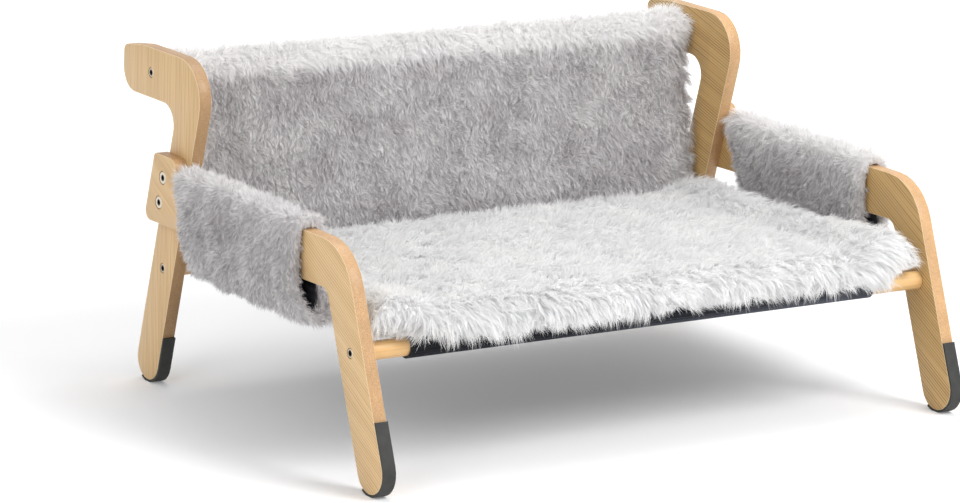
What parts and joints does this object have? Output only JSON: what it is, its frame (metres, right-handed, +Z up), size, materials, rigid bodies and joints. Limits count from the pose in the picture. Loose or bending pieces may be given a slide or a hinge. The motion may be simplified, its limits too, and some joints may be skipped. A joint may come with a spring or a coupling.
{
  "type": "elevated cat bed",
  "caption": "Low elevated cat bed: a plush covered canvas sling seat and back on dowels between bolted wooden side frames with padded armrests.",
  "frame": {"origin": "on the floor, under the middle of the bed's overall box", "axes": "+Z up; -Y towards the bed's open front, where the cat steps on; +Y towards its raised back; +X from the side frame on the left to the one on the right, seen from the front"},
  "size_m": [0.6238, 0.4668, 0.3],
  "materials": {
    "board_wood": "clear satin varnish on honey coloured board",
    "rod_wood": "clear satin varnish on a turned dowel",
    "screw_steel": "zinc plated socket head screws",
    "insert_steel": "yellow passivated threaded inserts",
    "pad_rubber": "matt black non slip pads",
    "canvas": "dense matt black canvas",
    "grey_plush": "short dense grey plush pile",
    "pale_plush": "short dense near white plush pile"
  },
  "bodies": {
    "root": {"arm_board_left": "board_wood", "arm_board_right": "board_wood", "post_board_left": "board_wood", "post_board_right": "board_wood", "front_rod": "rod_wood", "rear_rod": "rod_wood", "top_rod": "rod_wood", "front_rod_screw_left": "screw_steel", "front_rod_screw_right": "screw_steel", "rear_rod_screw_left": "screw_steel", "rear_rod_screw_right": "screw_steel", "top_rod_screw_left": "screw_steel", "top_rod_screw_right": "screw_steel", "front_rod_insert_left": "insert_steel", "front_rod_insert_right": "insert_steel", "rear_rod_insert_left": "insert_steel", "rear_rod_insert_right": "insert_steel", "top_rod_insert_left": "insert_steel", "top_rod_insert_right": "insert_steel", "upper_shoulder_bolt_left": "screw_steel", "upper_shoulder_bolt_right": "screw_steel", "lower_shoulder_bolt_left": "screw_steel", "lower_shoulder_bolt_right": "screw_steel", "upper_post_insert_left": "insert_steel", "upper_post_insert_right": "insert_steel", "lower_post_insert_left": "insert_steel", "lower_post_insert_right": "insert_steel", "front_foot_pad_left": "pad_rubber", "front_foot_pad_right": "pad_rubber", "rear_foot_pad_left": "pad_rubber", "rear_foot_pad_right": "pad_rubber", "seat_canvas": "canvas", "back_canvas": "canvas", "seat_plush": "pale_plush", "back_plush": "grey_plush", "arm_lining_left": "canvas", "arm_lining_right": "canvas", "arm_plush_left": "grey_plush", "arm_plush_right": "grey_plush"}
  },
  "joints": []
}
